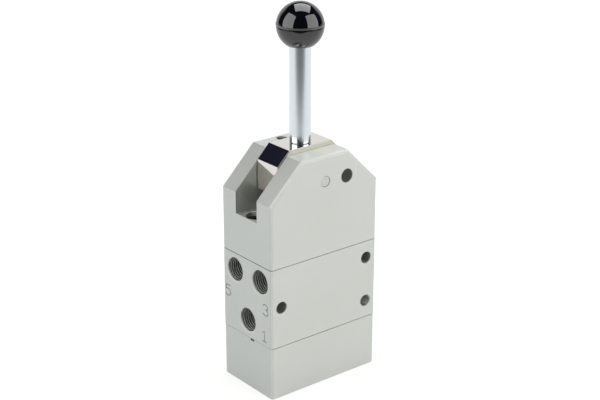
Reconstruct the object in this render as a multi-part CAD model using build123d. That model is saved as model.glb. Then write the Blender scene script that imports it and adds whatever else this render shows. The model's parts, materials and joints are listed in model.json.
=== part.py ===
from build123d import *
import os
from math import radians, sin

# Hand lever directional valve: a base with the return springs, a valve body with two
# upright spools, and a slotted housing where a rocking lever presses on the spools.
# Millimetres. X runs along the wide face, Y across the slot, Z up from the base's underside.

# The three blocks
body_width = 42.0
body_length = 71.6
base_end_step = 0.2
housing_end_step = 0.1
base_height = 29.85
valve_height = 44.7
housing_height = 54.85
corner_radius = 1.5
foot_chamfer = 0.5
gasket_thickness = 0.3
gasket_inset = 1.0

# Lever housing: sloped shoulders and the open slot
shoulder = 20.0
slot_width = 18.0
slot_depth = 32.0

# Ports and the mounting holes beside them
port_diameter = 13.16
port_mouth_diameter = 14.6
port_depth = 12.5
port_side_inset = 10.25
port_level_inset = 9.55
mounting_hole_diameter = 6.6
mounting_hole_inset = 6.8
mounting_hole_chamfer = 0.3

# Spools and the passages between ports and spool bores
spool_diameter = 10.9
neck_diameter = 7.0
stem_diameter = 8.0
tip_diameter = 5.0
tip_length = 6.4
tip_chamfer = 0.5
end_land_length = 4.6
end_land_inset = 5.35
middle_land_length = 9.0
passage_level_shift = 2.8
passage_diameter = 3.2
ring_groove_height = 3.6
ring_groove_diameter = 15.0
short_passage_shift = 3.75
long_passage_shift = 2.75
long_passage_end = 6.0
ring_cord = 1.8
ring_spacing = 5.8
bottom_spigot_length = 3.2

# Return springs, their pockets in the base, and the breather groove
spring_pocket_diameter = 13.4
spring_pocket_floor = 6.0
spring_outer_diameter = 12.0
spring_wire = 1.4
spring_turns = 6
seat_diameter = 12.4
seat_thickness = 1.5
breather_width = 3.0
breather_depth = 1.2
breather_offset = -3.9

# Guide bushes and stem seals in the floor of the slot
bush_outer_diameter = 12.0
bush_bottom_room = 2.85
seal_outer_diameter = 14.0
seal_length = 3.6
seal_recess = 4.0
seal_lip_depth = 1.2

# Lever: pivot, rocker, rollers, rod and ball
pivot_depth = 14.0
pivot_pin_diameter = 6.0
pin_end_recess = 0.2
lever_angle = 17.0
rocker_end_wall = 1.1
rocker_rise = 2.5
rocker_drop = 7.0
rocker_chamfer = 7.5
rocker_edge_chamfer = 0.5
rocker_bush_diameter = 8.0
roller_diameter = 11.0
roller_width = 9.4
roller_rim_radius = 0.5
roller_pin_diameter = 5.0
access_hole_diameter = 7.7
rod_diameter = 11.5
rod_length = 52.0
rod_thread_diameter = 8.0
rod_thread_length = 10.0
rod_end_chamfer = 0.5
ball_diameter = 25.0
ball_height = 22.5
parting_band_height = 1.35
parting_band_lift = 0.15
parting_band_rise = 0.1
parting_groove_height = 0.7
parting_groove_depth = 0.3
insert_diameter = 9.0
insert_length = 14.0
stud_diameter = 6.0
stud_length = 10.0

# Screws
screw_diameter = 6.0
screw_head_diameter = 10.0
screw_head_height = 6.0
screw_socket = 5.0
screw_socket_depth = 3.0
counterbore_diameter = 11.6
counterbore_chamfer = 0.4
screw_clearance_hole = 6.6
housing_screw_inset = 6.7
housing_screw_depth = 8.5
base_screw_end_inset = 7.6
base_screw_side_inset = 7.5
base_screw_seat = 10.5
thread_engagement = 5.35
screw_tip_room = 0.3
lock_screw_length = 6.0
lock_screw_socket = 3.0
lock_screw_socket_depth = 2.5
lock_screw_point_chamfer = 0.75
lock_screw_shift = 0.5

# Clearances, each one radial or on one face
running_clearance = 0.03
seat_clearance = 0.02
thread_clearance = 0.05
spool_clearance = 0.1
seal_clearance = 0.1
ring_clearance = 0.05
spring_clearance = 0.3
rocker_clearance = 0.2
roller_clearance = 0.3
roller_pocket_clearance = 0.5
tip_clearance = 0.15
gasket_hole_clearance = 0.7
stop_clearance = 0.2

# Lengths and places along and across the body that follow from the blocks
base_length = body_length - 2 * base_end_step
housing_length = body_length - 2 * housing_end_step
housing_screw_x = housing_length / 2 - housing_screw_inset
base_screw_x = base_length / 2 - base_screw_end_inset
base_screw_y = body_width / 2 - base_screw_side_inset
spool_offset = housing_screw_x / 2
port_y = body_width / 2 - port_side_inset
lock_screw_y = (slot_width / 2 + body_width / 2) / 2 + lock_screw_shift

# Heights that follow from the blocks
valve_bottom = base_height + gasket_thickness
valve_top = valve_bottom + valve_height
valve_middle = (valve_bottom + valve_top) / 2
housing_bottom = valve_top + gasket_thickness
housing_top = housing_bottom + housing_height
slot_floor = housing_top - slot_depth
pivot_height = housing_top - pivot_depth

# Ports: supply low and exhausts high on the -X end, outlets midway on the +X end
supply_level = valve_bottom + port_level_inset
outlet_level = valve_middle
exhaust_level = valve_top - port_level_inset
supply_passage = supply_level + passage_level_shift
exhaust_passage = exhaust_level - passage_level_shift
port_bottom = body_length / 2 - port_depth
mounting_hole_x = body_length / 2 - mounting_hole_inset

# Lever heights, and the spool's stroke at the end of the lever's swing
rocker_top = housing_top + rocker_rise
rocker_bottom = pivot_height - rocker_drop
rocker_width = slot_width - 2 * rocker_clearance
rocker_half_length = spool_offset + roller_diameter / 2 + roller_pocket_clearance + rocker_end_wall
rod_top = rocker_top + rod_length
ball_centre = rod_top + ball_height - ball_diameter / 2
spool_stroke = spool_offset * sin(radians(lever_angle))

# Spool heights at rest
spool_top = pivot_height - roller_diameter / 2 - tip_clearance
tip_bottom = spool_top - tip_length
spool_bore = spool_diameter + 2 * spool_clearance
seat_top = base_height - spool_stroke - stop_clearance
seat_bottom = seat_top - seat_thickness
top_land_middle = valve_top - end_land_inset
bottom_land_middle = valve_bottom + end_land_inset

# Screw seats, lengths and places
housing_screw_seat = slot_floor - housing_screw_depth
housing_screw_length = housing_screw_seat - valve_top + thread_engagement
base_screw_length = valve_bottom + thread_engagement - base_screw_seat
housing_screw_places = [(x, 0) for x in (-housing_screw_x, housing_screw_x)]
base_screw_places = [(x, y) for x in (-base_screw_x, base_screw_x) for y in (-base_screw_y, base_screw_y)]


def along_z(diameter, low, high, x=0.0, y=0.0):
    """Upright cylinder between two heights."""
    return Pos(x, y, (low + high) / 2) * Cylinder(diameter / 2, high - low)


def along_y(diameter, low, high, x=0.0, z=0.0):
    """Cylinder across the body between two Y values."""
    return Pos(x, (low + high) / 2, z) * Rot(90, 0, 0) * Cylinder(diameter / 2, high - low)


def along_x(diameter, low, high, y=0.0, z=0.0):
    """Cylinder along the body between two X values."""
    return Pos((low + high) / 2, y, z) * Rot(0, 90, 0) * Cylinder(diameter / 2, high - low)


def drilling(start, end):
    """Straight drilled passage from one point to another."""
    path = Vector(*end) - Vector(*start)
    hole = Cylinder(passage_diameter / 2, path.length, align=(Align.CENTER, Align.CENTER, Align.MIN))
    return Plane(origin=start, z_dir=path) * hole


def block(length, bottom, height):
    """Machined block with rounded upright corners."""
    outline = Plane.XY.offset(bottom) * RectangleRounded(length, body_width, corner_radius)
    return extrude(outline, height)


def outline_across(points, width):
    """Prism across the body from an outline in X and Z."""
    face = make_face(Plane.XZ * Polyline(*points, close=True))
    return extrude(face, width / 2, both=True)


def cap_screw(x, y, seat, length, head_up):
    """Socket head cap screw, its head's underside at the seat height."""
    way = 1 if head_up else -1
    head_top = seat + way * screw_head_height
    tip = seat - way * length
    head = along_z(screw_head_diameter, min(seat, head_top), max(seat, head_top), x, y)
    shank = along_z(screw_diameter, min(seat, tip), max(seat, tip), x, y)
    socket = Pos(x, y, head_top - way * screw_socket_depth / 2) * extrude(
        RegularPolygon(screw_socket / 2, 6, major_radius=False), screw_socket_depth / 2, both=True
    )
    return head + shank - socket


def make_base():
    """Base block with two spring pockets, the breather groove and screw holes from below."""
    part = block(base_length, 0, base_height)
    part = chamfer(part.faces().sort_by(Axis.Z)[0].edges(), foot_chamfer)
    for x in (-spool_offset, spool_offset):
        part -= along_z(spring_pocket_diameter, spring_pocket_floor, base_height, x)
    groove_end = spool_offset
    groove_length = groove_end + base_length / 2
    part -= Pos(groove_end - groove_length / 2, breather_offset, base_height - breather_depth / 2) * Box(
        groove_length, breather_width, breather_depth
    )
    for x, y in base_screw_places:
        part -= along_z(counterbore_diameter, 0, base_screw_seat, x, y)
        part -= along_z(screw_clearance_hole, base_screw_seat, base_height, x, y)
    return part


def make_gasket(bottom, screw_places):
    """Thin flat gasket with holes for both spools and the screws."""
    outline = Plane.XY.offset(bottom) * RectangleRounded(
        base_length - 2 * gasket_inset, body_width - 2 * gasket_inset, corner_radius
    )
    part = extrude(outline, gasket_thickness)
    top = bottom + gasket_thickness
    for x in (-spool_offset, spool_offset):
        part -= along_z(spring_pocket_diameter, bottom, top, x)
    for x, y in screw_places:
        part -= along_z(screw_clearance_hole + 2 * gasket_hole_clearance, bottom, top, x, y)
    return part


def port(side, y, z):
    """Port hole with its countersunk mouth, on the -X (-1) or +X (1) end."""
    face = side * body_length / 2
    hole = along_x(port_diameter, min(face, side * port_bottom), max(face, side * port_bottom), y, z)
    sink_depth = (port_mouth_diameter - port_diameter) / 2
    sink = Cone(port_diameter / 2, port_mouth_diameter / 2, sink_depth)
    return hole + Pos(face - side * sink_depth / 2, y, z) * Rot(0, side * 90, 0) * sink


def mounting_hole(x, z):
    """Plain bolt hole right through the width, with lightly broken edges."""
    half = body_width / 2
    hole = along_y(mounting_hole_diameter, -half, half, x, z)
    sink = Cone(mounting_hole_diameter / 2, mounting_hole_diameter / 2 + mounting_hole_chamfer,
                mounting_hole_chamfer)
    near = Pos(x, -half + mounting_hole_chamfer / 2, z) * Rot(90, 0, 0) * sink
    far = Pos(x, half - mounting_hole_chamfer / 2, z) * Rot(-90, 0, 0) * sink
    return hole + near + far


def make_valve_body():
    """Valve body: two spool bores with three ring grooves each, five ports and their passages."""
    part = block(body_length, valve_bottom, valve_height)
    for x in (-spool_offset, spool_offset):
        part -= along_z(spool_bore, valve_bottom, valve_top, x)
        for level in (supply_passage, outlet_level, exhaust_passage):
            low = level - ring_groove_height / 2
            part -= along_z(ring_groove_diameter, low, low + ring_groove_height, x)
    part -= port(-1, 0, supply_level)
    for y in (-port_y, port_y):
        part -= port(-1, y, exhaust_level)
        part -= port(1, y, outlet_level)
    part -= drilling((-port_bottom, 0, supply_passage), (spool_offset, 0, supply_passage))
    for side, level in ((-1, exhaust_passage), (1, outlet_level)):
        start_x = side * port_bottom
        near_y = -side * (port_y - short_passage_shift)
        part -= drilling((start_x, near_y, level), (side * spool_offset, near_y, level))
        far_start = (start_x, side * (port_y + long_passage_shift), level)
        part -= drilling(far_start, (-side * spool_offset, side * long_passage_end, level))
    part -= mounting_hole(-mounting_hole_x, outlet_level)
    part -= mounting_hole(mounting_hole_x, supply_level)
    part -= mounting_hole(mounting_hole_x, exhaust_level)
    thread_hole = screw_diameter + 2 * thread_clearance
    hole_depth = thread_engagement + screw_tip_room
    for x, y in housing_screw_places:
        part -= along_z(thread_hole, valve_top - hole_depth, valve_top, x, y)
    for x, y in base_screw_places:
        part -= along_z(thread_hole, valve_bottom, valve_bottom + hole_depth, x, y)
    return part


def make_lever_housing():
    """Lever housing: sloped shoulders, open slot, pin holes and the seats in the slot's floor."""
    half = housing_length / 2
    eaves = housing_top - shoulder
    ridge = half - shoulder
    part = outline_across(
        [(-half, housing_bottom), (half, housing_bottom), (half, eaves), (ridge, housing_top),
         (-ridge, housing_top), (-half, eaves)],
        body_width,
    )
    rounded = part.faces().sort_by(Axis.Y)[0].edges() + part.faces().sort_by(Axis.Y)[-1].edges()
    rounded = rounded.filter_by(lambda edge: edge.center().Z > housing_bottom + 1)
    part = fillet(rounded, corner_radius)
    part -= Pos(0, 0, housing_top - slot_depth / 2) * Box(2 * housing_length, slot_width, slot_depth)
    pin_hole = pivot_pin_diameter + 2 * seat_clearance
    part -= along_y(pin_hole, -body_width / 2, body_width / 2, 0, pivot_height)
    part -= along_y(access_hole_diameter, -body_width / 2, body_width / 2, spool_offset, pivot_height)
    lock_hole = screw_diameter + 2 * thread_clearance
    part -= along_z(lock_hole, pivot_height, housing_top, 0, lock_screw_y)
    for x in (-spool_offset, spool_offset):
        part -= along_z(bush_outer_diameter + 2 * seat_clearance, housing_bottom, slot_floor, x)
        part -= along_z(seal_outer_diameter + 2 * seat_clearance, slot_floor - seal_recess, slot_floor, x)
    rim_radius = counterbore_diameter / 2
    rim = Cone(rim_radius, rim_radius + counterbore_chamfer, counterbore_chamfer)
    for x, y in housing_screw_places:
        part -= along_z(counterbore_diameter, housing_screw_seat, slot_floor, x, y)
        part -= Pos(x, y, slot_floor - counterbore_chamfer / 2) * rim
        part -= along_z(screw_clearance_hole, housing_bottom, housing_screw_seat, x, y)
    return part


def make_guide_bush(x):
    """Plain bronze bush that guides a spool's stem through the floor of the slot."""
    bottom = housing_bottom + bush_bottom_room
    top = slot_floor - seal_recess
    part = along_z(bush_outer_diameter, bottom, top, x)
    return part - along_z(stem_diameter + 2 * running_clearance, bottom, top, x)


def make_stem_seal(x):
    """Wiper seal above the bush, with a lip groove in its upper face."""
    bottom = slot_floor - seal_recess
    top = bottom + seal_length
    inner = stem_diameter + 2 * seal_clearance
    part = along_z(seal_outer_diameter, bottom, top, x) - along_z(inner, bottom, top, x)
    groove_inner = (seal_outer_diameter + 3 * inner) / 4
    groove_outer = (3 * seal_outer_diameter + inner) / 4
    groove = along_z(groove_outer, top - seal_lip_depth, top, x)
    return part - (groove - along_z(groove_inner, top - seal_lip_depth, top, x))


def make_spool(x):
    """One turned spool: end lands, wide middle land, ring grooves, stem, tip and lower spigot."""
    half_end = end_land_length / 2
    top_land_top = top_land_middle + half_end
    bottom_land_bottom = bottom_land_middle - half_end
    part = along_z(neck_diameter, seat_top, tip_bottom, x)
    part += along_z(stem_diameter, top_land_top, tip_bottom, x)
    part += along_z(spool_diameter, top_land_middle - half_end, top_land_top, x)
    part += along_z(spool_diameter, valve_middle - middle_land_length / 2,
                    valve_middle + middle_land_length / 2, x)
    part += along_z(spool_diameter, bottom_land_bottom, bottom_land_middle + half_end, x)
    tip = along_z(tip_diameter, tip_bottom, spool_top, x)
    part += chamfer(tip.edges().sort_by(Axis.Z)[-1], tip_chamfer)
    part += along_z(tip_diameter, seat_bottom - bottom_spigot_length, seat_top, x)
    groove_width = ring_cord + 2 * seal_clearance
    groove_floor = spool_bore - 2 * (ring_clearance + ring_cord + seat_clearance)
    for height in ring_heights():
        cut = along_z(spool_bore, height - groove_width / 2, height + groove_width / 2, x)
        part -= cut - along_z(groove_floor, height - groove_width / 2, height + groove_width / 2, x)
    return part


def ring_heights():
    """Heights of a spool's four sealing rings at rest."""
    middle = [valve_middle - ring_spacing / 2, valve_middle + ring_spacing / 2]
    return [bottom_land_middle] + middle + [top_land_middle]


def make_spool_seals(x):
    """Four O-rings of one spool."""
    centre_radius = spool_bore / 2 - ring_clearance - ring_cord / 2
    rings = [Pos(x, 0, height) * Torus(centre_radius, ring_cord / 2) for height in ring_heights()]
    return Compound(children=rings)


def make_spring_seat(x):
    """Flanged washer on the spool's spigot that the return spring presses against."""
    flange = along_z(seat_diameter, seat_bottom, seat_top, x)
    collar_diameter = spring_outer_diameter - 2 * (spring_wire + spring_clearance)
    collar = along_z(collar_diameter, seat_bottom - seat_thickness, seat_bottom, x)
    hole = along_z(tip_diameter + 2 * seat_clearance, seat_bottom - seat_thickness, seat_top, x)
    return flange + collar - hole


def make_return_spring(x):
    """Compression spring with ground ends, from the pocket floor to the spring seat."""
    coil_radius = (spring_outer_diameter - spring_wire) / 2
    pitch = (seat_bottom - spring_pocket_floor) / spring_turns
    coil = Helix(pitch, seat_bottom - spring_pocket_floor + pitch, coil_radius)
    path = Pos(x, 0, spring_pocket_floor - pitch / 2) * coil
    section = Plane(origin=path @ 0, z_dir=path % 0) * Circle(spring_wire / 2)
    wound = sweep(section, path=path, is_frenet=True)
    ground = along_z(2 * spring_outer_diameter, spring_pocket_floor, seat_bottom, x)
    return wound & ground


def make_rocker():
    """Rocker block: chamfered head, fork pockets for both rollers, pin holes and rod thread."""
    half = rocker_half_length
    shoulder_height = rocker_top - rocker_chamfer
    ridge = half - rocker_chamfer
    part = outline_across(
        [(-half, rocker_bottom), (half, rocker_bottom), (half, shoulder_height), (ridge, rocker_top),
         (-ridge, rocker_top), (-half, shoulder_height)],
        rocker_width,
    )
    sides = part.faces().sort_by(Axis.Y)[0].edges() + part.faces().sort_by(Axis.Y)[-1].edges()
    part = chamfer(sides, rocker_edge_chamfer)
    pocket_length = roller_diameter + 2 * roller_pocket_clearance
    pocket_top = pivot_height + roller_diameter / 2 + roller_pocket_clearance
    pocket_height = pocket_top - rocker_bottom
    pocket = Box(pocket_length, roller_width + 2 * roller_clearance, pocket_height)
    pin_hole = roller_pin_diameter + 2 * seat_clearance
    for x in (-spool_offset, spool_offset):
        part -= Pos(x, 0, pocket_top - pocket_height / 2) * pocket
        part -= along_y(pin_hole, -rocker_width / 2, rocker_width / 2, x, pivot_height)
    bush_hole = rocker_bush_diameter + 2 * seat_clearance
    part -= along_y(bush_hole, -rocker_width / 2, rocker_width / 2, 0, pivot_height)
    thread = rod_thread_diameter + 2 * thread_clearance
    return part - along_z(thread, rocker_top - rod_thread_length - screw_tip_room, rocker_top)


def make_rocker_bush():
    """Bronze bush in the rocker that turns on the pivot pin."""
    half = rocker_width / 2
    part = along_y(rocker_bush_diameter, -half, half, 0, pivot_height)
    return part - along_y(pivot_pin_diameter + 2 * running_clearance, -half, half, 0, pivot_height)


def make_pivot_pin():
    """Pivot pin through both cheeks, its ends just below the faces and lightly chamfered."""
    half = body_width / 2 - pin_end_recess
    part = along_y(pivot_pin_diameter, -half, half, 0, pivot_height)
    ends = part.edges().filter_by(GeomType.CIRCLE)
    return chamfer(ends, pin_end_recess)


def make_lock_screw():
    """Grub screw in the far cheek, its flat point on the pivot pin."""
    bottom = pivot_height + pivot_pin_diameter / 2
    top = bottom + lock_screw_length
    part = along_z(screw_diameter, bottom, top, 0, lock_screw_y)
    part = chamfer(part.edges().sort_by(Axis.Z)[0], lock_screw_point_chamfer)
    socket = Plane.XY.offset(top) * Pos(0, lock_screw_y) * RegularPolygon(
        lock_screw_socket / 2, 6, major_radius=False
    )
    return part - extrude(socket, -lock_screw_socket_depth)


def make_roller(x):
    """Hardened roller with rounded rims, free on its pin."""
    half = roller_width / 2
    part = along_y(roller_diameter, -half, half, x, pivot_height)
    part = fillet(part.edges().filter_by(GeomType.CIRCLE), roller_rim_radius)
    return part - along_y(roller_pin_diameter + 2 * running_clearance, -half, half, x, pivot_height)


def make_roller_pin(x):
    """Roller pin held in the rocker's fork, just short of its sides."""
    half = rocker_width / 2 - pin_end_recess
    return along_y(roller_pin_diameter, -half, half, x, pivot_height)


def make_lever_rod():
    """Lever rod with a threaded lower end in the rocker and a stud for the ball."""
    bar = along_z(rod_diameter, rocker_top, rod_top)
    bar = chamfer(bar.edges().filter_by(GeomType.CIRCLE), rod_end_chamfer)
    thread = along_z(rod_thread_diameter, rocker_top - rod_thread_length, rocker_top)
    stud = along_z(stud_diameter, rod_top, rod_top + stud_length)
    return thread + bar + stud


def make_knob_insert():
    """Brass insert moulded into the ball, tapped for the rod's stud."""
    part = along_z(insert_diameter, rod_top, rod_top + insert_length)
    hole = stud_diameter + 2 * thread_clearance
    return part - along_z(hole, rod_top, rod_top + stud_length + screw_tip_room)


def make_ball_knob():
    """Ball knob with a flat underside, and its mould's raised parting band above a fine groove."""
    ball = Pos(0, 0, ball_centre) * Sphere(ball_diameter / 2)
    band_bottom = ball_centre + parting_band_lift
    ball += along_z(ball_diameter + 2 * parting_band_rise, band_bottom, band_bottom + parting_band_height)
    groove_outer = ball_diameter / 2 + parting_band_rise
    groove = Polyline(
        (groove_outer, 0, band_bottom),
        (ball_diameter / 2 - parting_groove_depth, 0, band_bottom - parting_groove_height / 2),
        (groove_outer, 0, band_bottom - parting_groove_height),
        close=True,
    )
    ball -= revolve(make_face(groove), Axis.Z)
    below = along_z(2 * ball_diameter, rod_top - ball_diameter, rod_top)
    hole = along_z(insert_diameter + 2 * seat_clearance, rod_top, rod_top + insert_length + seat_clearance)
    return ball - below - hole


nodes = {
    "base": make_base(),
    "base_gasket": make_gasket(base_height, base_screw_places),
    "valve_body": make_valve_body(),
    "housing_gasket": make_gasket(valve_top, housing_screw_places),
    "lever_housing": make_lever_housing(),
    "base_screws": Compound(
        children=[cap_screw(x, y, base_screw_seat, base_screw_length, False) for x, y in base_screw_places]
    ),
    "housing_screws": Compound(
        children=[cap_screw(x, y, housing_screw_seat, housing_screw_length, True)
                  for x, y in housing_screw_places]
    ),
    "pivot_pin": make_pivot_pin(),
    "pin_lock_screw": make_lock_screw(),
    "rocker": make_rocker(),
    "rocker_bush": make_rocker_bush(),
    "lever_rod": make_lever_rod(),
    "knob_insert": make_knob_insert(),
    "ball_knob": make_ball_knob(),
}

for side, x in (("left", -spool_offset), ("right", spool_offset)):
    nodes["guide_bush_" + side] = make_guide_bush(x)
    nodes["stem_seal_" + side] = make_stem_seal(x)
    nodes["spool_" + side] = make_spool(x)
    nodes["spool_seals_" + side] = make_spool_seals(x)
    nodes["spring_seat_" + side] = make_spring_seat(x)
    nodes["return_spring_" + side] = make_return_spring(x)
    nodes["roller_" + side] = make_roller(x)
    nodes["roller_pin_" + side] = make_roller_pin(x)

os.makedirs("parts", exist_ok=True)
for name, solid in nodes.items():
    export_step(solid, "parts/" + name + ".step")
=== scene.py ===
import json
from math import cos, pi, radians, sin

import bmesh
import bpy
from mathutils import Matrix, Vector


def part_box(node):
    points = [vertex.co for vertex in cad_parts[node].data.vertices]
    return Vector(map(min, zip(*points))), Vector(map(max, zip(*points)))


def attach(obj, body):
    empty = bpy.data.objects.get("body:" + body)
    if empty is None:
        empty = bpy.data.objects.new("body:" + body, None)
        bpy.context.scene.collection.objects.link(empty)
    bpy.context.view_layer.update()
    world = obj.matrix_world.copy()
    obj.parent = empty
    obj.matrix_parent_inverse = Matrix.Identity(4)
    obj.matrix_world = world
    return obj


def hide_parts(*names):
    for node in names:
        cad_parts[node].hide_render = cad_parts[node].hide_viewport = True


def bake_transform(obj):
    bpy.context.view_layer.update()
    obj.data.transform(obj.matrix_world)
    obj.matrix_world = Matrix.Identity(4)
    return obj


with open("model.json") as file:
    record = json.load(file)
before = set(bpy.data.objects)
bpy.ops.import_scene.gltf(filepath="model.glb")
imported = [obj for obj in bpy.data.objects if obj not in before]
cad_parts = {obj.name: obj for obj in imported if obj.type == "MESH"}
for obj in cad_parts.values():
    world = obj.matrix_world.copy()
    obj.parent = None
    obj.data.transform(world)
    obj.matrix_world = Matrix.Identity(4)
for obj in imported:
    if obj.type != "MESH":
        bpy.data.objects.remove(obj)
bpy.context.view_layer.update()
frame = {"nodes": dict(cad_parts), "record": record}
nodes = frame["nodes"]
MM = 0.001


# Camera
# A long lens, as for a catalogue photograph, a little above the lever's rocker. Its place was
# fitted to the edges of the three blocks.
camera_azimuth = radians(-38.865)
camera_elevation = radians(21.398)
camera_roll = radians(0.097)
camera_distance = 0.7673
camera_aim = Vector((0, 0, 0.09935))
camera_data = bpy.data.cameras.new("camera")
camera_data.lens = 86.72
camera_data.sensor_width = 36
camera = bpy.data.objects.new("camera", camera_data)
bpy.context.scene.collection.objects.link(camera)
camera_turn = (
    Matrix.Rotation(camera_azimuth, 4, "Z")
    @ Matrix.Rotation(pi / 2 - camera_elevation, 4, "X")
    @ Matrix.Rotation(camera_roll, 4, "Z")
)
camera.matrix_world = (
    Matrix.Translation(camera_aim) @ camera_turn @ Matrix.Translation((0, 0, camera_distance))
)
bpy.context.scene.camera = camera
bpy.context.scene.view_settings.view_transform = "Standard"


# Room round the table
# White to the camera. Metal sees what the photographer's studio has: a white sweep behind the
# object, a grey floor past the table, and a dark bluish room everywhere else.
def linear(hex_colour):
    """Linear colour with alpha from an sRGB hex value."""
    channels = [int(hex_colour[i:i + 2], 16) / 255 for i in (1, 3, 5)]
    return [c / 12.92 if c <= 0.04045 else ((c + 0.055) / 1.055) ** 2.4 for c in channels] + [1]


def add_node(tree, kind, inputs=None, **settings):
    """Add a node with its settings; an input is a value or the socket that feeds it."""
    node = tree.nodes.new(kind)
    for name, value in settings.items():
        setattr(node, name, value)
    for name, value in (inputs or {}).items():
        if isinstance(value, bpy.types.NodeSocket):
            tree.links.new(value, node.inputs[name])
        else:
            node.inputs[name].default_value = value
    return node


def toward(azimuth, elevation):
    """Unit direction from the object, azimuth 0 on the -Y side, in degrees."""
    a, e = radians(azimuth), radians(elevation)
    return Vector((sin(a) * cos(e), -cos(a) * cos(e), sin(e)))


sweep_azimuth = 141
sweep_side_fade = (60, 44)
sweep_top_fade = (35, 25)
room_level = 0.02
room_blue = (0.6, 0.7, 1.5, 1)
floor_fade = (-0.02, -0.1)
diffuse_level = 0.3
floor_level = 0.15
world = bpy.data.worlds.new("studio room")
bpy.context.scene.world = world
world.use_nodes = True
tree = world.node_tree
tree.nodes.clear()
direction = add_node(tree, "ShaderNodeTexCoord").outputs["Generated"]
across = add_node(
    tree, "ShaderNodeVectorMath", {0: direction, 1: toward(sweep_azimuth, 0)},
    operation="DOT_PRODUCT",
).outputs["Value"]
height = add_node(tree, "ShaderNodeSeparateXYZ", {0: direction}).outputs["Z"]
inside_width = add_node(
    tree, "ShaderNodeMapRange",
    {"Value": across, "From Min": cos(radians(sweep_side_fade[0])),
     "From Max": cos(radians(sweep_side_fade[1]))},
    interpolation_type="SMOOTHSTEP",
).outputs["Result"]
below_top = add_node(
    tree, "ShaderNodeMapRange",
    {"Value": height, "From Min": sin(radians(sweep_top_fade[0])),
     "From Max": sin(radians(sweep_top_fade[1]))},
    interpolation_type="SMOOTHSTEP",
).outputs["Result"]
sweep = add_node(
    tree, "ShaderNodeMath", {0: inside_width, 1: below_top}, operation="MULTIPLY"
).outputs[0]
below_table = add_node(
    tree, "ShaderNodeMapRange",
    {"Value": height, "From Min": floor_fade[0], "From Max": floor_fade[1],
     "To Min": room_level, "To Max": floor_level},
).outputs["Result"]
glossy_level = add_node(
    tree, "ShaderNodeMapRange", {"Value": sweep, "To Min": below_table, "To Max": 1.0}
).outputs["Result"]
path = add_node(tree, "ShaderNodeLightPath")
seen_level = add_node(
    tree, "ShaderNodeMix", {0: path.outputs["Is Glossy Ray"], 2: diffuse_level, 3: glossy_level}
).outputs[0]
level = add_node(
    tree, "ShaderNodeMix", {0: path.outputs["Is Camera Ray"], 2: seen_level, 3: 1.0}
).outputs[0]
away_from_dark = add_node(
    tree, "ShaderNodeMapRange", {"Value": level, "From Min": room_level, "From Max": floor_level}
).outputs["Result"]
light_colour = add_node(
    tree, "ShaderNodeMix", {0: away_from_dark, 6: room_blue, 7: (1, 1, 1, 1)}, data_type="RGBA"
).outputs[2]
background = add_node(tree, "ShaderNodeBackground", {"Color": light_colour, "Strength": level})
add_node(tree, "ShaderNodeOutputWorld", {"Surface": background.outputs[0]})


# Softboxes
# Three white softboxes: one on each side of the camera, standing on the floor, and one overhead.
# Each is placed and turned as the black ball mirrors it.
def softbox(name, middle, across, up, radiance):
    """Rectangular lamp from its middle and two edges, its radiance given as a multiple of white."""
    lamp_data = bpy.data.lights.new(name, "AREA")
    lamp_data.shape = "RECTANGLE"
    lamp_data.size = across.length
    lamp_data.size_y = up.length
    lamp_data.energy = radiance * pi * across.length * up.length
    lamp = bpy.data.objects.new(name, lamp_data)
    bpy.context.scene.collection.objects.link(lamp)
    lamp.visible_camera = False
    back = across.cross(up).normalized()
    side = across.normalized()
    lamp.matrix_world = (
        Matrix.Translation(middle) @ Matrix((side, back.cross(side), back)).transposed().to_4x4()
    )


ball_centre = Vector((0, 0, 0.1945))
softbox("left_softbox", ball_centre + Vector((-0.866, 0.221, 0.522)),
        Vector((-0.139, -1.055, 0.023)), Vector((0.242, -0.046, 1.105)), radiance=2.9)
softbox("right_softbox", ball_centre + Vector((0.628, -0.949, 0.552)),
        Vector((1.367, 0.216, -0.094)), Vector((0.014, 0.281, 1.240)), radiance=2.9)
softbox("top_softbox", ball_centre + Vector((0.433, 0.302, 1.069)),
        Vector((0.869, -0.643, -0.098)), Vector((0.836, 0.924, 0.011)), radiance=3.8)


# Table
# Matt white board. Its front edge is near, so that a metal rod sees the dark room past it. Part of
# its brightness is its own, so that the board is as white as the room behind it.
table_front = 0.43
table_depth = 3.0
table_half_width = 2.2
glow_share = 0.75
table_material = bpy.data.materials.new("matt white board")
table_material.use_nodes = True
tree = table_material.node_tree
tree.nodes.clear()
path = add_node(tree, "ShaderNodeLightPath")
paper = add_node(tree, "ShaderNodeBsdfDiffuse", {"Color": linear("#f4f4f2"), "Roughness": 1.0})
white = add_node(tree, "ShaderNodeEmission", {"Color": (1, 1, 1, 1), "Strength": 1.0})
shown = add_node(
    tree, "ShaderNodeMath",
    {0: path.outputs["Is Camera Ray"], 1: path.outputs["Is Glossy Ray"]}, operation="MAXIMUM",
).outputs[0]
share = add_node(
    tree, "ShaderNodeMath", {0: shown, 1: glow_share}, operation="MULTIPLY"
).outputs[0]
board = add_node(tree, "ShaderNodeMixShader", {0: share, 1: paper.outputs[0], 2: white.outputs[0]})
clear = add_node(tree, "ShaderNodeBsdfTransparent")
underside = add_node(tree, "ShaderNodeNewGeometry").outputs["Backfacing"]
board = add_node(
    tree, "ShaderNodeMixShader", {0: underside, 1: board.outputs[0], 2: clear.outputs[0]}
)
add_node(tree, "ShaderNodeOutputMaterial", {"Surface": board.outputs[0]})

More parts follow.
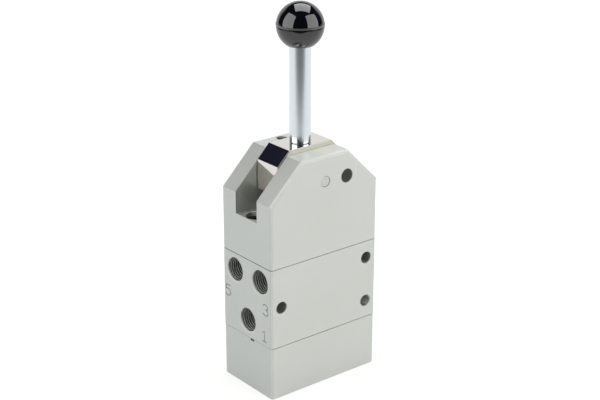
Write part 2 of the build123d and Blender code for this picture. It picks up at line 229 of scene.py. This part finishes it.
table_mesh = bpy.data.meshes.new("table")
bm = bmesh.new()
bmesh.ops.create_grid(bm, x_segments=1, y_segments=1, size=1)
bmesh.ops.scale(bm, vec=(table_half_width, table_depth / 2, 1), verts=bm.verts)
bmesh.ops.translate(bm, vec=(0, table_depth / 2 - table_front, 0), verts=bm.verts)
bmesh.ops.rotate(bm, matrix=Matrix.Rotation(camera_azimuth, 3, "Z"), verts=bm.verts)
bm.to_mesh(table_mesh)
bm.free()
table = bpy.data.objects.new("table", table_mesh)
table_mesh.materials.append(table_material)
bpy.context.scene.collection.objects.link(table)


# Three blocks
# Sawn from aluminium bar, milled, finely blasted and clear anodised: a pale satin grey with the
# edges lightly broken. The ends carry painted shade: their colour is made a shade darker. The
# rounded edges take most of the blast, so they are the dullest.
def start_material(name):
    """New empty node material."""
    material = bpy.data.materials.new(name)
    material.use_nodes = True
    material.node_tree.nodes.clear()
    return material, material.node_tree


def finish_with(material, *names):
    """Give CAD nodes their finish in place of the plain one."""
    for name in names:
        nodes[name].data.materials.clear()
        nodes[name].data.materials.append(material)


def break_edges(piece, width):
    """Merge the piece's triangles and round its sharp edges."""
    weld = piece.modifiers.new("weld", "WELD")
    weld.merge_threshold = 0.0005 * MM
    flats = piece.modifiers.new("flats", "DECIMATE")
    flats.decimate_type = "DISSOLVE"
    flats.angle_limit = radians(0.2)
    bevel = piece.modifiers.new("broken edges", "BEVEL")
    bevel.width = width
    bevel.segments = 2
    bevel.limit_method = "ANGLE"
    bevel.angle_limit = radians(30)


def keep_flats_flat(piece):
    """Let the large faces decide the shading, and the narrow ones turn from one to the next."""
    shading = piece.modifiers.new("flat faces", "WEIGHTED_NORMAL")
    shading.mode = "FACE_AREA"
    shading.weight = 100
    for polygon in piece.data.polygons:
        polygon.use_smooth = True


def facing_y(tree, start, full):
    """0 where the Y of the normal is up to start in size, rising to 1 where it is full or more."""
    normal = add_node(tree, "ShaderNodeTexCoord").outputs["Normal"]
    along_y = add_node(tree, "ShaderNodeSeparateXYZ", {0: normal}).outputs["Y"]
    size = add_node(tree, "ShaderNodeMath", {0: along_y}, operation="ABSOLUTE").outputs[0]
    return add_node(
        tree, "ShaderNodeMapRange", {"Value": size, "From Min": start, "From Max": full}
    ).outputs["Result"]


# The bath leaves soft patches about 36 mm wide. The blasted grain, 0.3 mm here, is drawn coarser
# than it is, so that it shows.
anodised, tree = start_material("satin anodised aluminium")
place = add_node(tree, "ShaderNodeTexCoord").outputs["Object"]
tone = add_node(
    tree, "ShaderNodeTexNoise", {"Vector": place, "Scale": 0.028 / MM, "Detail": 3.0}
).outputs["Fac"]
grain = add_node(
    tree, "ShaderNodeTexNoise", {"Vector": place, "Scale": 3.2 / MM, "Detail": 2.0}
).outputs["Fac"]
colour = add_node(
    tree, "ShaderNodeMix", {0: tone, 6: linear("#bfc3bd"), 7: linear("#c8cac5")}, data_type="RGBA"
).outputs[2]
# Painted shade: the colour of the end faces is multiplied a shade darker.
painted_end_shade_fade = (35.45 * MM, 35.6 * MM)
painted_end_shade = (0.86, 0.87, 0.885, 1)
along = add_node(tree, "ShaderNodeSeparateXYZ", {0: place}).outputs["X"]
from_middle = add_node(tree, "ShaderNodeMath", {0: along}, operation="ABSOLUTE").outputs[0]
painted_end_shade_mask = add_node(
    tree, "ShaderNodeMapRange",
    {"Value": from_middle, "From Min": painted_end_shade_fade[0], "From Max": painted_end_shade_fade[1]},
).outputs["Result"]
colour = add_node(
    tree, "ShaderNodeMix", {0: painted_end_shade_mask, 6: colour, 7: painted_end_shade}, data_type="RGBA",
    blend_type="MULTIPLY",
).outputs[2]
rough = add_node(
    tree, "ShaderNodeMapRange", {"Value": grain, "To Min": 0.38, "To Max": 0.5}
).outputs["Result"]
off_the_ends = facing_y(tree, start=0.04, full=0.2)
wide_face = facing_y(tree, start=0.93, full=0.995)
off_the_wide_faces = add_node(
    tree, "ShaderNodeMath", {0: 1.0, 1: wide_face}, operation="SUBTRACT"
).outputs[0]
rounded = add_node(
    tree, "ShaderNodeMath", {0: off_the_ends, 1: off_the_wide_faces}, operation="MULTIPLY"
).outputs[0]
rough = add_node(tree, "ShaderNodeMix", {0: rounded, 2: rough, 3: 0.85}).outputs[0]
metal = add_node(
    tree, "ShaderNodeMapRange", {"Value": rounded, "To Min": 0.85, "To Max": 0.5}
).outputs["Result"]
bump = add_node(
    tree, "ShaderNodeBump", {"Height": grain, "Strength": 0.12, "Distance": 0.05 * MM}
).outputs["Normal"]
surface = add_node(
    tree, "ShaderNodeBsdfPrincipled",
    {"Base Color": colour, "Metallic": metal, "Roughness": rough, "Normal": bump},
)
add_node(tree, "ShaderNodeOutputMaterial", {"Surface": surface.outputs[0]})

broken_edge = 0.12 * MM
finish_with(anodised, "base", "valve_body", "lever_housing")
for name in ("base", "lever_housing"):
    break_edges(nodes[name], broken_edge)
    keep_flats_flat(nodes[name])


# Port numbers
# Plain digits beside the ports, cut with a small ball-nosed engraving cutter before anodising.
# The grooves are rougher than the faces, and their colour is made darker as painted shade in the
# grooves. The cutter's marks are 0.4 mm apart, coarser than real, so that they show.
engraved, tree = start_material("engraved anodised aluminium, grooves in painted shade")
place = add_node(tree, "ShaderNodeTexCoord").outputs["Object"]
cutter_marks = add_node(
    tree, "ShaderNodeTexNoise", {"Vector": place, "Scale": 2.5 / MM, "Detail": 2.0}
).outputs["Fac"]
# Painted shade: the grooves' darker colour stands in for the shade inside them.
colour = add_node(
    tree, "ShaderNodeMix", {0: cutter_marks, 6: linear("#767a77"), 7: linear("#8f938f")},
    data_type="RGBA",
).outputs[2]
bump = add_node(
    tree, "ShaderNodeBump", {"Height": cutter_marks, "Strength": 0.3, "Distance": 0.05 * MM}
).outputs["Normal"]
surface = add_node(
    tree, "ShaderNodeBsdfPrincipled",
    {"Base Color": colour, "Metallic": 0.4, "Roughness": 0.75, "Normal": bump},
)
add_node(tree, "ShaderNodeOutputMaterial", {"Surface": surface.outputs[0]})

# Each stroke is a list of corners, in mm from the digit's middle, across and up.
digit_strokes = {
    "1": [[(-1.5, 1.7), (0.3, 3.1), (0.3, -3.1)], [(-1.7, -3.1), (2.2, -3.1)]],
    "2": [[(-2.0, 1.8), (-1.5, 2.7), (-0.1, 3.1), (1.5, 2.6), (1.9, 1.4), (1.3, 0.1),
           (-2.0, -3.1)],
          [(-2.0, -3.1), (2.2, -3.1)]],
    "3": [[(-2.0, 2.2), (-1.2, 2.95), (0.1, 3.1), (1.5, 2.7), (1.9, 1.7), (1.4, 0.75),
           (0.0, 0.3)],
          [(0.0, 0.3), (1.6, -0.1), (2.2, -1.4), (1.6, -2.6), (0.2, -3.1), (-1.3, -2.9),
           (-2.2, -2.1)]],
    "4": [[(1.1, -3.1), (1.1, 3.1)], [(1.1, 3.1), (-2.2, -1.2)], [(-2.2, -1.2), (2.3, -1.2)]],
    "5": [[(2.0, 3.1), (-1.7, 3.1)], [(-1.7, 3.1), (-1.9, 0.4)],
          [(-1.9, 0.4), (-0.8, 0.85), (0.6, 0.9), (1.9, 0.15), (2.2, -1.2), (1.6, -2.5),
           (0.2, -3.1), (-1.3, -2.9), (-2.1, -2.2)]],
}
# Each digit with its end of the body and its middle's Y and Z in mm.
digits = [("5", -1, 16.8, 51.2), ("3", -1, -16.0, 51.2), ("1", -1, -14.7, 35.7),
          ("4", 1, 10.75, 40.0), ("2", 1, -10.75, 40.0)]
engraving_radius = 0.33 * MM
valve_low, valve_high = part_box("valve_body")
path_of_cutter = bpy.data.curves.new("digit cutter", "CURVE")
path_of_cutter.dimensions = "3D"
path_of_cutter.bevel_depth = engraving_radius
path_of_cutter.bevel_resolution = 2
path_of_cutter.use_fill_caps = True
for digit, end, y, z in digits:
    face_x = valve_high.x if end > 0 else valve_low.x
    for stroke in digit_strokes[digit]:
        spline = path_of_cutter.splines.new("POLY")
        spline.points.add(len(stroke) - 1)
        for point, (across, up) in zip(spline.points, stroke):
            point.co = (face_x, (y + end * across) * MM, (z + up) * MM, 1)
cutter_path = bpy.data.objects.new("digit cutter path", path_of_cutter)
bpy.context.scene.collection.objects.link(cutter_path)
cutter_mesh = bpy.data.meshes.new_from_object(
    cutter_path.evaluated_get(bpy.context.evaluated_depsgraph_get())
)
bpy.data.objects.remove(cutter_path)
cutter_mesh.materials.append(engraved)
cutter = bpy.data.objects.new("digit cutter", cutter_mesh)
bpy.context.scene.collection.objects.link(cutter)

numbered = bpy.data.objects.new("numbered_valve_body", nodes["valve_body"].data.copy())
bpy.context.scene.collection.objects.link(numbered)
break_edges(numbered, broken_edge)
engraving = numbered.modifiers.new("engraving", "BOOLEAN")
engraving.object = cutter
engraving.solver = "EXACT"
engraving.material_mode = "TRANSFER"
engraving.use_self = True
cut_mesh = bpy.data.meshes.new_from_object(
    numbered.evaluated_get(bpy.context.evaluated_depsgraph_get())
)
numbered.modifiers.clear()
numbered.data = cut_mesh
keep_flats_flat(numbered)
bpy.data.objects.remove(cutter)
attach(numbered, "valve")
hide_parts("valve_body")


# Port threads
# G1/4 pipe threads tapped in the five ports: 55 degree flanks, 1.337 mm pitch. The crests carry a
# painted highlight and the flanks painted shade for the thread's roots, both with the tap's
# chatter marks, 0.7 mm apart. The small countersink at the mouth is dull.
tapped, tree = start_material("tapped aluminium, flanks in painted shade")
place = add_node(tree, "ShaderNodeTexCoord").outputs["Object"]
chatter = add_node(
    tree, "ShaderNodeTexNoise", {"Vector": place, "Scale": 1.5 / MM, "Detail": 2.0}
).outputs["Fac"]
# Painted shade: the flanks' dark colour stands in for the shade in the thread's roots.
colour = add_node(
    tree, "ShaderNodeMix", {0: chatter, 6: linear("#3a3f3c"), 7: linear("#525754")},
    data_type="RGBA",
).outputs[2]
surface = add_node(
    tree, "ShaderNodeBsdfPrincipled", {"Base Color": colour, "Metallic": 0.5, "Roughness": 0.55}
)
add_node(tree, "ShaderNodeOutputMaterial", {"Surface": surface.outputs[0]})

highlighted_crest_metal, tree = start_material("tapped aluminium, crests with painted highlight")
place = add_node(tree, "ShaderNodeTexCoord").outputs["Object"]
chatter = add_node(
    tree, "ShaderNodeTexNoise", {"Vector": place, "Scale": 1.5 / MM, "Detail": 2.0}
).outputs["Fac"]
rough = add_node(
    tree, "ShaderNodeMapRange", {"Value": chatter, "To Min": 0.35, "To Max": 0.5}
).outputs["Result"]
# Painted highlight: the crests' near-white colour stands in for the light they catch.
surface = add_node(
    tree, "ShaderNodeBsdfPrincipled",
    {"Base Color": linear("#eef1ee"), "Metallic": 0.6, "Roughness": rough},
)
add_node(tree, "ShaderNodeOutputMaterial", {"Surface": surface.outputs[0]})

countersunk, tree = start_material("countersunk anodised aluminium")
place = add_node(tree, "ShaderNodeTexCoord").outputs["Object"]
chatter = add_node(
    tree, "ShaderNodeTexNoise", {"Vector": place, "Scale": 1.5 / MM, "Detail": 2.0}
).outputs["Fac"]
rough = add_node(
    tree, "ShaderNodeMapRange", {"Value": chatter, "To Min": 0.65, "To Max": 0.8}
).outputs["Result"]
surface = add_node(
    tree, "ShaderNodeBsdfPrincipled",
    {"Base Color": linear("#c3c6c2"), "Metallic": 0.3, "Roughness": rough},
)
add_node(tree, "ShaderNodeOutputMaterial", {"Surface": surface.outputs[0]})
numbered.data.materials.append(countersunk)


def cut_thread(name, mouth, axis, length, crest_radius, root_radius, pitch):
    """Ridge of an internal thread, wound from the mouth inwards, as one closed solid."""
    steps = 40
    turns = length / pitch
    half_crest = pitch / 7
    half_root = pitch * 0.46
    profile = [(root_radius, -half_root), (crest_radius, -half_crest), (crest_radius, half_crest),
               (root_radius, half_root)]
    bm = bmesh.new()
    corners = [bm.verts.new((radius, 0, place)) for radius, place in profile]
    face = bm.faces.new(corners)
    bmesh.ops.spin(
        bm, geom=[face] + list(face.edges) + corners, cent=(0, 0, 0), axis=(0, 0, 1),
        dvec=(0, 0, pitch / steps), angle=2 * pi * turns, steps=round(steps * turns),
        use_merge=False,
    )
    bmesh.ops.remove_doubles(bm, verts=bm.verts, dist=0.0001 * MM)
    bmesh.ops.recalc_face_normals(bm, faces=bm.faces)
    # Crest faces take the painted highlight, and the rest the painted shade.
    for face in bm.faces:
        on_crest = max(vert.co.xy.length for vert in face.verts) < crest_radius * 1.01
        face.material_index = int(on_crest)
    turn = Vector(axis).to_track_quat("Z", "X").to_matrix()
    bmesh.ops.rotate(bm, matrix=turn, verts=bm.verts)
    bmesh.ops.translate(bm, vec=mouth, verts=bm.verts)
    mesh = bpy.data.meshes.new(name)
    bm.to_mesh(mesh)
    bm.free()
    mesh.materials.append(tapped)
    mesh.materials.append(highlighted_crest_metal)
    for polygon in mesh.polygons:
        polygon.use_smooth = True
    mesh.set_sharp_from_angle(angle=radians(25))
    piece = bpy.data.objects.new(name, mesh)
    bpy.context.scene.collection.objects.link(piece)
    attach(piece, "valve")


thread_pitch = 1.337 * MM
thread_crest = 5.9 * MM
thread_root = 6.62 * MM
thread_start = 1.2 * MM
thread_length = 10.4 * MM
mouth_radius = 7.4 * MM
mounts = {mount["name"]: mount for mount in frame["record"]["mounts"]}
for number in (1, 2, 3, 4, 5):
    mount = mounts["port_%d" % number]
    outward = Vector(mount["axis"])
    face_x = valve_high.x if outward.x > 0 else valve_low.x
    start = Vector((face_x, mount["pos_m"][1], mount["pos_m"][2])) - outward * thread_start
    cut_thread("port_%d_thread" % number, start, -outward, thread_length, thread_crest,
               thread_root, thread_pitch)
    for polygon in numbered.data.polygons:
        slanted = 0.3 < polygon.normal.x * outward.x < 0.98
        if slanted and (polygon.center - start).yz.length < mouth_radius:
            polygon.material_index = numbered.data.materials.find(countersunk.name)


# Lock screw hole
# M6 thread tapped down the far cheek of the lever housing, above the grub screw that holds the
# pivot pin.
housing_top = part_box("lever_housing")[1].z
lock_low, lock_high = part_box("pin_lock_screw")
lock_middle = (lock_low + lock_high) / 2
lock_thread_start = 0.6 * MM
lock_thread_length = housing_top - lock_high.z - 2 * lock_thread_start
cut_thread("lock_hole_thread",
           Vector((lock_middle.x, lock_middle.y, housing_top - lock_thread_start)),
           Vector((0, 0, -1)), lock_thread_length, crest_radius=2.6 * MM, root_radius=3.09 * MM,
           pitch=1.0 * MM)


# Gaskets
# Oiled fibre sheet, clamped between the blocks by their screws: dark brown grey, with its fibres
# as flecks about a millimetre long.
fibre, tree = start_material("oiled fibre sheet")
place = add_node(tree, "ShaderNodeTexCoord").outputs["Object"]
fleck = add_node(
    tree, "ShaderNodeTexVoronoi", {"Vector": place, "Scale": 0.9 / MM}
).outputs["Distance"]
colour = add_node(
    tree, "ShaderNodeMix", {0: fleck, 6: linear("#706e68"), 7: linear("#4c4a46")}, data_type="RGBA"
).outputs[2]
bump = add_node(
    tree, "ShaderNodeBump", {"Height": fleck, "Strength": 0.3, "Distance": 0.05 * MM}
).outputs["Normal"]
surface = add_node(
    tree, "ShaderNodeBsdfPrincipled", {"Base Color": colour, "Roughness": 0.75, "Normal": bump}
)
add_node(tree, "ShaderNodeOutputMaterial", {"Surface": surface.outputs[0]})
finish_with(fibre, "base_gasket", "housing_gasket")


# Cap screws and grub screw
# Alloy steel, quenched and black oxided: near black with a faint oily sheen, worn a little
# browner in patches of 2 or 3 mm, as by the key and the washer face.
oxide, tree = start_material("black oxide steel")
place = add_node(tree, "ShaderNodeTexCoord").outputs["Object"]
wear = add_node(
    tree, "ShaderNodeTexNoise", {"Vector": place, "Scale": 0.4 / MM, "Detail": 4.0}
).outputs["Fac"]
colour = add_node(
    tree, "ShaderNodeMix", {0: wear, 6: linear("#1d1d1f"), 7: linear("#3b3733")}, data_type="RGBA"
).outputs[2]
rough = add_node(
    tree, "ShaderNodeMapRange", {"Value": wear, "To Min": 0.35, "To Max": 0.55}
).outputs["Result"]
surface = add_node(
    tree, "ShaderNodeBsdfPrincipled", {"Base Color": colour, "Metallic": 0.7, "Roughness": rough}
)
add_node(tree, "ShaderNodeOutputMaterial", {"Surface": surface.outputs[0]})
finish_with(oxide, "base_screws", "housing_screws", "pin_lock_screw")


# Ball knob
# Moulded black phenolic, buffed to a high gloss. The raised band left by the mould's parting
# line is only sanded, so it is duller than the rest. The gloss has a faint ripple, 5 to 6 mm long.
band_bottom = ball_centre.z + 0.4 * MM
band_top = ball_centre.z + 1.4 * MM
band_blur = 0.05 * MM
phenolic, tree = start_material("gloss black phenolic")
place = add_node(tree, "ShaderNodeTexCoord").outputs["Object"]
height = add_node(tree, "ShaderNodeSeparateXYZ", {0: place}).outputs["Z"]
above = add_node(
    tree, "ShaderNodeMapRange",
    {"Value": height, "From Min": band_bottom - band_blur, "From Max": band_bottom + band_blur},
).outputs["Result"]
band = add_node(
    tree, "ShaderNodeMapRange",
    {"Value": height, "From Min": band_top + band_blur, "From Max": band_top - band_blur,
     "To Min": 0.0, "To Max": above},
).outputs["Result"]
colour = add_node(
    tree, "ShaderNodeMix", {0: band, 6: linear("#060608"), 7: linear("#3c3e3c")}, data_type="RGBA"
).outputs[2]
rough = add_node(
    tree, "ShaderNodeMapRange", {"Value": band, "To Min": 0.04, "To Max": 0.3}
).outputs["Result"]
ripple = add_node(
    tree, "ShaderNodeTexNoise", {"Vector": place, "Scale": 0.18 / MM, "Detail": 1.0}
).outputs["Fac"]
bump = add_node(
    tree, "ShaderNodeBump", {"Height": ripple, "Strength": 0.04, "Distance": 0.05 * MM}
).outputs["Normal"]
surface = add_node(
    tree, "ShaderNodeBsdfPrincipled",
    {"Base Color": colour, "Roughness": rough, "IOR": 1.66, "Normal": bump},
)
add_node(tree, "ShaderNodeOutputMaterial", {"Surface": surface.outputs[0]})
finish_with(phenolic, "ball_knob")


# Lever rod
# Bright drawn bar, bluish zinc plated, screwed into the rocker with its lower end and into the
# knob's insert with its stud. The die leaves fine lines along it, drawn coarser here to show.
zinc, tree = start_material("bright zinc plate")
place = add_node(tree, "ShaderNodeTexCoord").outputs["Object"]
along = add_node(
    tree, "ShaderNodeMapping", {"Vector": place, "Scale": (1.0, 1.0, 0.12)}
).outputs["Vector"]
draw_lines = add_node(
    tree, "ShaderNodeTexNoise", {"Vector": along, "Scale": 1.5 / MM, "Detail": 3.0}
).outputs["Fac"]
bump = add_node(
    tree, "ShaderNodeBump", {"Height": draw_lines, "Strength": 0.15, "Distance": 0.05 * MM}
).outputs["Normal"]
surface = add_node(
    tree, "ShaderNodeBsdfPrincipled",
    {"Base Color": linear("#d3dbe0"), "Metallic": 1.0, "Roughness": 0.22, "Normal": bump},
)
add_node(tree, "ShaderNodeOutputMaterial", {"Surface": surface.outputs[0]})
finish_with(zinc, "lever_rod")


# Rocker
# Steel block, ground and nickel plated. The top and the ends are mirror polished, with the faint
# cloudiness of the buffing wheel. The sides that run along the slot keep their grinding and look
# warmer.
polished, tree = start_material("mirror polished nickel")
place = add_node(tree, "ShaderNodeTexCoord").outputs["Object"]
haze = add_node(
    tree, "ShaderNodeTexNoise", {"Vector": place, "Scale": 0.09 / MM, "Detail": 4.0}
).outputs["Fac"]
rough = add_node(
    tree, "ShaderNodeMapRange", {"Value": haze, "To Min": 0.05, "To Max": 0.12}
).outputs["Result"]
side = facing_y(tree, start=0.1, full=0.3)
rough = add_node(tree, "ShaderNodeMix", {0: side, 2: rough, 3: 0.42}).outputs[0]
colour = add_node(
    tree, "ShaderNodeMix", {0: side, 6: linear("#d8d3cd"), 7: linear("#bcb9af")}, data_type="RGBA"
).outputs[2]
surface = add_node(
    tree, "ShaderNodeBsdfPrincipled", {"Base Color": colour, "Metallic": 1.0, "Roughness": rough}
)
add_node(tree, "ShaderNodeOutputMaterial", {"Surface": surface.outputs[0]})
finish_with(polished, "rocker")


# Pins and rollers
# Bearing steel, hardened and centreless ground: bright, with fine grinding lines round the axis,
# drawn four to the millimetre, coarser than real. The pivot pin's chamfers are painted black as
# painted shade, a dark ring round each end.
ground, tree = start_material("ground bearing steel")
place = add_node(tree, "ShaderNodeTexCoord").outputs["Object"]
round_axis = add_node(
    tree, "ShaderNodeMapping", {"Vector": place, "Scale": (0.15, 1.0, 0.15)}
).outputs["Vector"]
lines = add_node(
    tree, "ShaderNodeTexNoise", {"Vector": round_axis, "Scale": 4 / MM, "Detail": 2.0}
).outputs["Fac"]
rough = add_node(
    tree, "ShaderNodeMapRange", {"Value": lines, "To Min": 0.22, "To Max": 0.34}
).outputs["Result"]
bump = add_node(
    tree, "ShaderNodeBump", {"Height": lines, "Strength": 0.1, "Distance": 0.02 * MM}
).outputs["Normal"]
surface = add_node(
    tree, "ShaderNodeBsdfPrincipled",
    {"Base Color": linear("#c2c2c0"), "Metallic": 1.0, "Roughness": rough, "Normal": bump},
)
add_node(tree, "ShaderNodeOutputMaterial", {"Surface": surface.outputs[0]})
finish_with(ground, "pivot_pin", "roller_left", "roller_right", "roller_pin_left",
            "roller_pin_right", "spool_left", "spool_right", "spring_seat_left",
            "spring_seat_right")
# Painted shade: the pin's chamfers take the black oxide finish, a dark ring round each end.
pin_mesh = nodes["pivot_pin"].data
pin_mesh.materials.append(oxide)
for polygon in pin_mesh.polygons:
    chamfered = 0.2 < abs(polygon.normal.y) < 0.98
    if chamfered:
        polygon.material_index = 1


# Bronze bushes
# Sintered bronze, sized after pressing: warm brown metal with fine open pores that hold the oil.
# The pores are drawn a third of a millimetre wide, coarser than real, so that they show.
bronze, tree = start_material("sintered bronze")
place = add_node(tree, "ShaderNodeTexCoord").outputs["Object"]
pores = add_node(
    tree, "ShaderNodeTexVoronoi", {"Vector": place, "Scale": 3 / MM}
).outputs["Distance"]
colour = add_node(
    tree, "ShaderNodeMix", {0: pores, 6: linear("#6f4f2c"), 7: linear("#b58a52")}, data_type="RGBA"
).outputs[2]
bump = add_node(
    tree, "ShaderNodeBump", {"Height": pores, "Strength": 0.3, "Distance": 0.03 * MM}
).outputs["Normal"]
surface = add_node(
    tree, "ShaderNodeBsdfPrincipled",
    {"Base Color": colour, "Metallic": 0.9, "Roughness": 0.45, "Normal": bump},
)
add_node(tree, "ShaderNodeOutputMaterial", {"Surface": surface.outputs[0]})
finish_with(bronze, "rocker_bush", "guide_bush_left", "guide_bush_right")


# Knob insert
# Free-cutting brass, moulded into the ball and tapped for the rod's stud. Its turning rings are
# drawn a third of a millimetre apart, coarser than the real feed.
brass, tree = start_material("turned brass")
place = add_node(tree, "ShaderNodeTexCoord").outputs["Object"]
rings = add_node(
    tree, "ShaderNodeTexWave", {"Vector": place, "Scale": 0.9 / MM, "Distortion": 0.5},
    bands_direction="Z",
).outputs["Fac"]
bump = add_node(
    tree, "ShaderNodeBump", {"Height": rings, "Strength": 0.15, "Distance": 0.02 * MM}
).outputs["Normal"]
surface = add_node(
    tree, "ShaderNodeBsdfPrincipled",
    {"Base Color": linear("#d4b26a"), "Metallic": 1.0, "Roughness": 0.28, "Normal": bump},
)
add_node(tree, "ShaderNodeOutputMaterial", {"Surface": surface.outputs[0]})
finish_with(brass, "knob_insert")


# Seals
# Black nitrile rubber, moulded and greased: soft black with a dull, uneven shine. O-rings in the
# spools' grooves, and a wiper above each guide bush.
nitrile, tree = start_material("black nitrile rubber")
place = add_node(tree, "ShaderNodeTexCoord").outputs["Object"]
grease = add_node(
    tree, "ShaderNodeTexNoise", {"Vector": place, "Scale": 0.5 / MM, "Detail": 3.0}
).outputs["Fac"]
colour = add_node(
    tree, "ShaderNodeMix", {0: grease, 6: linear("#121213"), 7: linear("#232324")}, data_type="RGBA"
).outputs[2]
rough = add_node(
    tree, "ShaderNodeMapRange", {"Value": grease, "To Min": 0.4, "To Max": 0.7}
).outputs["Result"]
surface = add_node(tree, "ShaderNodeBsdfPrincipled", {"Base Color": colour, "Roughness": rough})
add_node(tree, "ShaderNodeOutputMaterial", {"Surface": surface.outputs[0]})
finish_with(nitrile, "spool_seals_left", "spool_seals_right", "stem_seal_left", "stem_seal_right")


# Return springs
# Patented spring wire, cold coiled and oiled: dark grey steel, streaked by the drawing die and
# the oil. Each stands in the valve's base.
spring_steel, tree = start_material("oiled spring wire")
place = add_node(tree, "ShaderNodeTexCoord").outputs["Object"]
draw_lines = add_node(
    tree, "ShaderNodeTexNoise", {"Vector": place, "Scale": 1.2 / MM, "Detail": 3.0}
).outputs["Fac"]
colour = add_node(
    tree, "ShaderNodeMix", {0: draw_lines, 6: linear("#5c5e61"), 7: linear("#8a8c8e")},
    data_type="RGBA",
).outputs[2]
surface = add_node(
    tree, "ShaderNodeBsdfPrincipled", {"Base Color": colour, "Metallic": 1.0, "Roughness": 0.35}
)
add_node(tree, "ShaderNodeOutputMaterial", {"Surface": surface.outputs[0]})
for side in ("left", "right"):
    name = "return_spring_" + side
    finish_with(spring_steel, name)
    coil = bpy.data.objects.new("wound_" + name, nodes[name].data.copy())
    bpy.context.scene.collection.objects.link(coil)
    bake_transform(coil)
    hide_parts(name)
